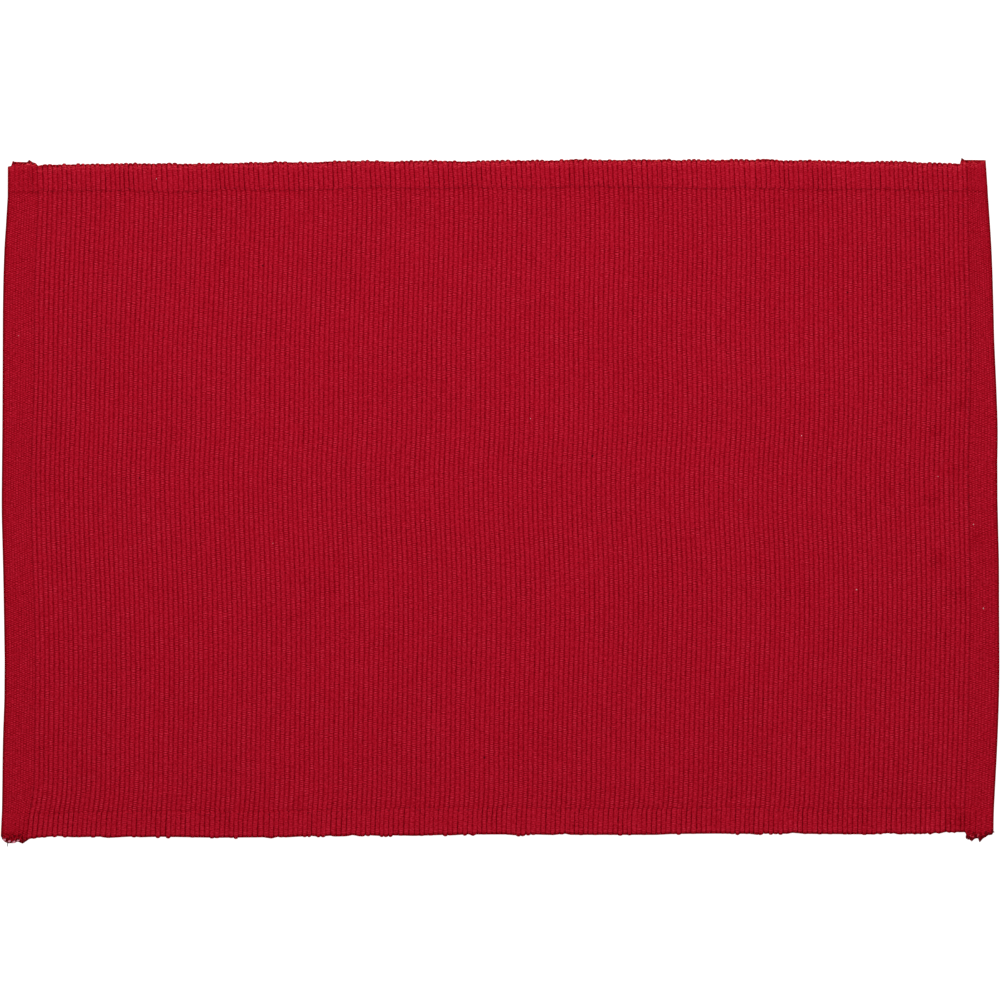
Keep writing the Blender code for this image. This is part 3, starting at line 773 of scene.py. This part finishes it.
YARN_STATIONS = np.linspace(0, 1, 9)
SHADED_ENDS = np.array((
    (-229.2, 164.0, -229.4, 165.8, 0.42), (-236.6, 163.8, -237.2, 165.3, 0.40),
    (224.6, 165.2, 224.8, 166.9, 0.34), (226.9, -162.5, 227.0, -164.6, 0.42),
    (228.0, -163.3, 227.7, -165.0, 0.40), (229.6, -163.8, 229.4, -165.7, 0.45),
    (230.6, -163.0, 231.4, -164.4, 0.36), (233.2, -163.6, 233.4, -166.1, 0.44),
    (234.4, -162.8, 235.4, -164.2, 0.40), (237.2, -161.4, 238.0, -162.7, 0.40),
    (238.9, -160.2, 240.5, -161.3, 0.40), (232.0, -161.9, 231.4, -164.0, 0.32),
    (-232.0, -164.6, -232.3, -166.6, 0.50), (-242.0, -162.4, -242.7, -163.4, 0.45),
    (-234.2, -164.4, -234.9, -165.7, 0.40), (236.4, -160.6, 234.6, -163.2, 0.38),
    (230.3, -161.0, 229.2, -163.0, 0.34), (227.6, -160.8, 226.8, -162.6, 0.36),
    (239.6, -161.0, 238.7, -162.2, 0.36), (235.6, -161.6, 236.6, -163.0, 0.34),
    (-238.6, -163.2, -239.0, -165.2, 0.34), (-233.0, -162.2, -234.6, -164.2, 0.34),
    (-236.6, -162.6, -237.2, -164.6, 0.34), (-230.2, -162.0, -230.6, -163.6, 0.34),
))
LIT_ENDS = np.array((
    (232.5, -162.0, 232.2, -163.9, 0.46), (230.3, -163.2, 229.5, -164.3, 0.40),
    (228.4, -162.6, 228.9, -164.0, 0.30),
))
PALE_ENDS = np.array((
    (-240.6, -164.9, -241.9, -164.9, 0.52), (-238.3, -165.7, -239.9, -165.8, 0.50),
    (-236.0, -165.7, -237.7, -166.0, 0.50), (-233.9, -165.2, -235.4, -165.5, 0.42),
))
BRIGHT_THREAD = np.array(((-230.4, 163.2), (-229.8, 163.7), (-229.3, 163.6), (-229.0, 163.2)))
TIGHT_THREAD = np.array((
    (-229.1, 161.6), (-228.6, 158.2), (-228.2, 155.2), (-227.5, 153.7), (-227.2, 150.8),
    (-226.2, 150.0), (-224.4, 149.6),
))
FALLEN_THREAD = np.array((
    (-239.9, -165.6), (-239.7, -166.6), (-239.95, -167.3), (-239.8, -168.0), (-240.0, -168.4),
))


def yarn_ends(name, table, height):
    """Short yarns from a root to a tip, bent sideways by a sine of their length, lying from the face
    down to `height` over the table, and thinned towards the tip."""
    t = YARN_STATIONS
    root, tip, width = table[:, None, 0:2], table[:, None, 2:4], table[:, 4:5]
    way = tip - root
    side = np.stack([-way[..., 1], way[..., 0]], -1)
    bend = np.random.default_rng(61).normal(0, 0.10, (len(table), 1, 1)) * np.sin(math.pi * t)[:, None]
    flat = root + way * t[:, None] + side * bend
    z = face_over(flat[..., 0], flat[..., 1])
    z = z[:, :1] * (1 - t**2) + height * t**2 + 0.12
    radii = width * np.clip(1.15 - 0.75 * t**3, 0, 1)
    return threads(name, np.concatenate([flat, z[..., None]], -1), radii, 8)


def laid_thread(name, route, radius, lift, on_face):
    """One thread through the points of the route, smoothed by a cubic curve, lying on the face or on the
    table, with ends drawn to a point."""
    t = np.linspace(0, len(route) - 1, 8 * len(route))
    stations = np.arange(len(route)).astype(float)
    x, y = (smooth_through(stations, route[:, i], t) for i in (0, 1))
    z = face_over(x, y) if on_face else np.zeros(len(t))
    ends = np.sqrt(np.clip(np.minimum(t, t[::-1]) / 0.4, 0.02, 1))
    return threads(name, np.stack([x, y, z + lift], -1)[None], (radius * ends)[None], 8)


def loose_cotton(name, dark, pale):
    """Untwisted cotton yarn: a fuzzy, dull surface, streaked along its length where fibres part."""
    material = bpy.data.materials.new(name)
    material.use_nodes = True
    tree = material.node_tree
    uv = node(tree, "ShaderNodeUVMap", uv_map="twist")
    place = node(tree, "ShaderNodeVectorMath", {0: uv, 1: (9.0, 1.6, 1.0)}, operation="MULTIPLY")
    fibres = node(tree, "ShaderNodeTexNoise", {"Vector": place, "Scale": 1.0, "Detail": 2.0})
    share = node(tree, "ShaderNodeMapRange", {0: fibres, 1: 0.3, 2: 0.7})
    colour = node(tree, "ShaderNodeMix", {0: share, 6: linear(dark), 7: linear(pale)}, 2, data_type="RGBA")
    height = node(tree, "ShaderNodeMath", {0: share, 1: 0.08}, operation="MULTIPLY")
    bump = node(tree, "ShaderNodeBump", {"Height": height, "Distance": MM, "Strength": 1.0})
    shader = tree.nodes["Principled BSDF"]
    tree.links.new(colour, shader.inputs["Base Color"])
    tree.links.new(bump, shader.inputs["Normal"])
    shader.inputs["Roughness"].default_value = 0.9
    shader.inputs["Specular IOR Level"].default_value = 0.05
    return material


# The shaded and lit ends are the same red cotton: their shade and light are painted into two colourings.
shaded_ends = yarn_ends("shaded_yarn_ends", SHADED_ENDS, 0.5)
shaded_ends.data.materials.append(loose_cotton("teased_red_cotton_in_shade", "#480208", "#84101E"))
lit_ends = yarn_ends("lit_yarn_ends", LIT_ENDS, 1.7)
lit_ends.data.materials.append(loose_cotton("teased_red_cotton_in_light", "#A80A20", "#E04A60"))
pale_ends = yarn_ends("pale_yarn_ends", PALE_ENDS, 1.7)
pale_ends.data.materials.append(loose_cotton("teased_undyed_cotton", "#D0466A", "#F4B8C8"))
bright_thread = laid_thread("bright_loose_thread", BRIGHT_THREAD, 0.32, 0.3, True)
bright_thread.data.materials.append(loose_cotton("loose_bright_cotton", "#EC2038", "#FA5A68"))
tight_thread = laid_thread("pulled_thread", TIGHT_THREAD, 0.17, 0.03, True)
tight_thread.data.materials.append(thread)
fallen_thread = laid_thread("fallen_thread", FALLEN_THREAD, 0.17, 0.17, False)
fallen_thread.data.materials.append(loose_cotton("grey_cotton_fibre", "#4A4448", "#7A7276"))
loose_pieces = [shaded_ends, lit_ends, pale_ends, bright_thread, tight_thread, fallen_thread]
for piece in loose_pieces:
    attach(piece, "root")

# ---------------------------------------------------------------------------------------------------
# Lint and slubs: a few specks of undyed cotton fibre that cling to the ribs, and small knots of dark
# yarn spun into the cloth, both curled and under a millimetre wide. A table row is x, y and the radius.

CURL_STATIONS = 9

LINT = np.array((
    (235.1, -52.4, 0.34), (173.3, -43.2, 0.31), (146.5, 31.7, 0.25), (-167.3, 156.7, 0.23),
    (14.7, 40.0, 0.22), (230.2, -11.6, 0.22), (-234.4, 80.3, 0.17), (213.0, 11.8, 0.19),
    (-110.6, -20.6, 0.17), (116.1, 0.3, 0.17),
))
SLUBS = np.array((
    (-7.7, -124.9, 0.50), (44.9, 22.0, 0.50), (-115.7, 114.4, 0.38), (-175.5, 11.3, 0.34),
    (168.9, 101.3, 0.30), (10.8, 124.2, 0.26), (8.9, -123.9, 0.26), (-212.5, -98.2, 0.26),
    (95.5, -70.4, 0.26), (211.7, 94.5, 0.26), (-180.9, 130.0, 0.26), (27.3, 119.3, 0.26),
    (38.0, -30.1, 0.26), (157.7, 51.7, 0.26), (-163.9, 79.4, 0.26), (-160.9, 22.5, 0.26),
    (224.7, 157.7, 0.30), (-153.8, -34.0, 0.24), (-50.0, 38.5, 0.24), (114.4, 73.1, 0.24),
))


def curled_specks(name, table, fullness, lift):
    """Little curls of fibre: each follows most of a circle whose radius shrinks to less than half, and
    thins as it goes, from `fullness` of the circle to about half of that."""
    turn = np.linspace(0, 1.6 * math.pi, CURL_STATIONS)
    phase = np.random.default_rng(71).uniform(0, 2 * math.pi, (len(table), 1))
    curl = table[:, 2:] * np.linspace(0.75, 0.35, CURL_STATIONS)
    x = table[:, :1] + curl * np.cos(turn + phase)
    y = table[:, 1:2] + curl * np.sin(turn + phase)
    z = face_over(x, y) + lift + 0.05 * np.sin(2 * turn)
    radii = table[:, 2:] * fullness * np.linspace(1, 0.55, CURL_STATIONS)
    return threads(name, np.stack([x, y, z], -1), radii, 6)


lint = curled_specks("lint", LINT, 0.45, 0.12)
lint.data.materials.append(loose_cotton("white_cotton_lint", "#F0B8BC", "#FFE8E8"))
slubs = curled_specks("slubs", SLUBS, 0.75, 0.04)
slubs.data.materials.append(loose_cotton("dark_red_slub", "#420208", "#6A0814"))
for piece in (lint, slubs):
    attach(piece, "root")

# ---------------------------------------------------------------------------------------------------
# The table, a matt white board, and the light: one wide soft box that leans in from the far side and
# an even white surround. The camera looks straight down through a long lens.

TABLE_REACH = 3.0
TABLE_DROP = 0.0001
corners = [(x * TABLE_REACH, y * TABLE_REACH, 0) for x, y in ((-1, -1), (1, -1), (1, 1), (-1, 1))]
floor_mesh = bpy.data.meshes.new("table_top")
floor_mesh.from_pydata(corners, [], [(0, 1, 2, 3)])
floor = bpy.data.objects.new("table_top", floor_mesh)
floor.location.z = -TABLE_DROP
bpy.context.scene.collection.objects.link(floor)
board = bpy.data.materials.new("matt_white_board")
board.use_nodes = True
board_shader = board.node_tree.nodes["Principled BSDF"]
board_shader.inputs["Base Color"].default_value = (0.25, 0.25, 0.25, 1.0)
board_shader.inputs["Roughness"].default_value = 0.95
board_shader.inputs["Specular IOR Level"].default_value = 0.1
board_shader.inputs["Emission Color"].default_value = (1.0, 1.0, 1.0, 1.0)
board_shader.inputs["Emission Strength"].default_value = 0.97
floor_mesh.materials.append(board)

world = bpy.data.worlds.new("surround")
world.use_nodes = True
world.node_tree.nodes["Background"].inputs["Color"].default_value = (1.0, 1.0, 1.0, 1.0)
world.node_tree.nodes["Background"].inputs["Strength"].default_value = 0.5
bpy.context.scene.world = world

soft_box = bpy.data.lights.new("soft_box", "AREA")
soft_box.shape = "RECTANGLE"
soft_box.size = 0.6
soft_box.size_y = 0.5
soft_box.energy = 5.6
soft_box_object = bpy.data.objects.new("soft_box", soft_box)
soft_box_object.location = (0.0, 0.32, 0.9)
soft_box_object.rotation_euler = (math.radians(-19), 0, 0)
bpy.context.scene.collection.objects.link(soft_box_object)

VIEW_WIDTH = 0.4865
VIEW_CENTRE = (-0.00015, 0.00034)
FACE_LEVEL = 0.002
CAMERA_HEIGHT = 3.0
camera = bpy.data.cameras.new("camera")
camera.sensor_width = 36.0
camera.lens = camera.sensor_width * CAMERA_HEIGHT / VIEW_WIDTH
camera_object = bpy.data.objects.new("camera", camera)
camera_object.location = (*VIEW_CENTRE, FACE_LEVEL + CAMERA_HEIGHT)
bpy.context.scene.collection.objects.link(camera_object)
bpy.context.scene.camera = camera_object
bpy.context.scene.view_settings.view_transform = "Standard"
